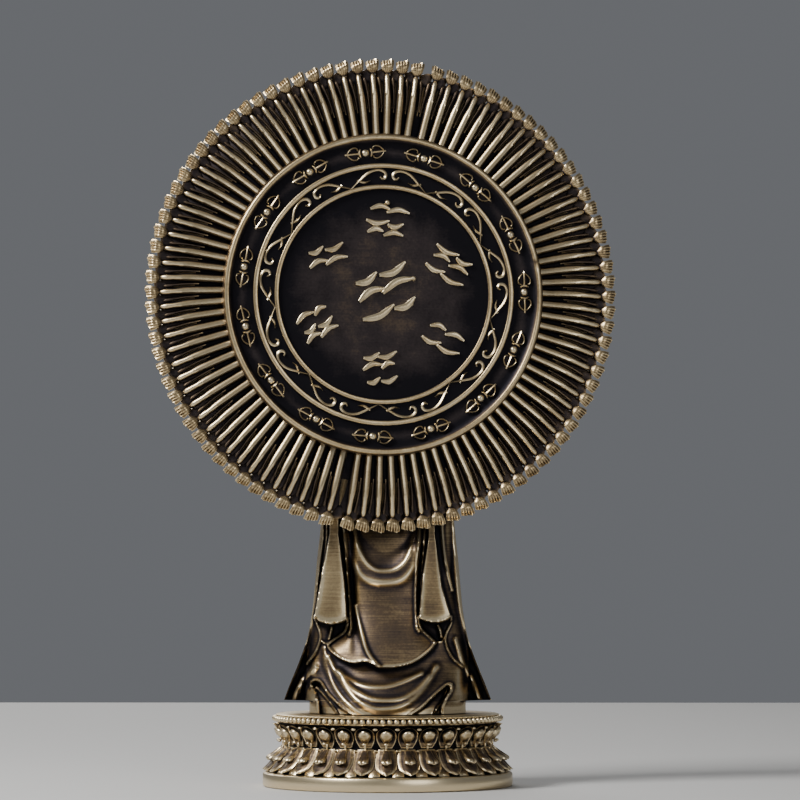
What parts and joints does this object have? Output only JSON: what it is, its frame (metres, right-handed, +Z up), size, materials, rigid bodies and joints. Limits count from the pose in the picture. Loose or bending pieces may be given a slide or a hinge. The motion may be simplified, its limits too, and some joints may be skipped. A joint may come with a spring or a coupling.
{
  "type": "many-armed buddhist figure on a lotus plinth",
  "caption": "Cast brass robed figure on a double lotus plinth, with a round wheel of radiating arms and an ornamented plate behind it.",
  "frame": {"origin": "centre of the plinth's flat underside", "axes": "+Z up along the figure's height; the figure faces -Y and the wheel's ornamented back faces +Y; +X is on the right of one who looks at its front"},
  "size_m": [0.1345, 0.0716, 0.208],
  "materials": {
    "plinth_brass": "cast brass with a brown-black patina in the hollows, worn to pale gold on petals and beads, and a brushed plain band",
    "figure_brass": "cast brass with a smooth dark brown patina, brushed pale on the raised folds and hems",
    "wheel_brass": "cast brass, arms rubbed to pale gold along their backs, with dark brown patina between them",
    "medallion_brass": "dark brown patinated field with its raised rings and ornaments rubbed to gold"
  },
  "bodies": {
    "root": {"lotus_plinth": "plinth_brass", "robed_figure": "figure_brass", "arm_wheel": "wheel_brass", "back_medallion": "medallion_brass"}
  },
  "joints": []
}
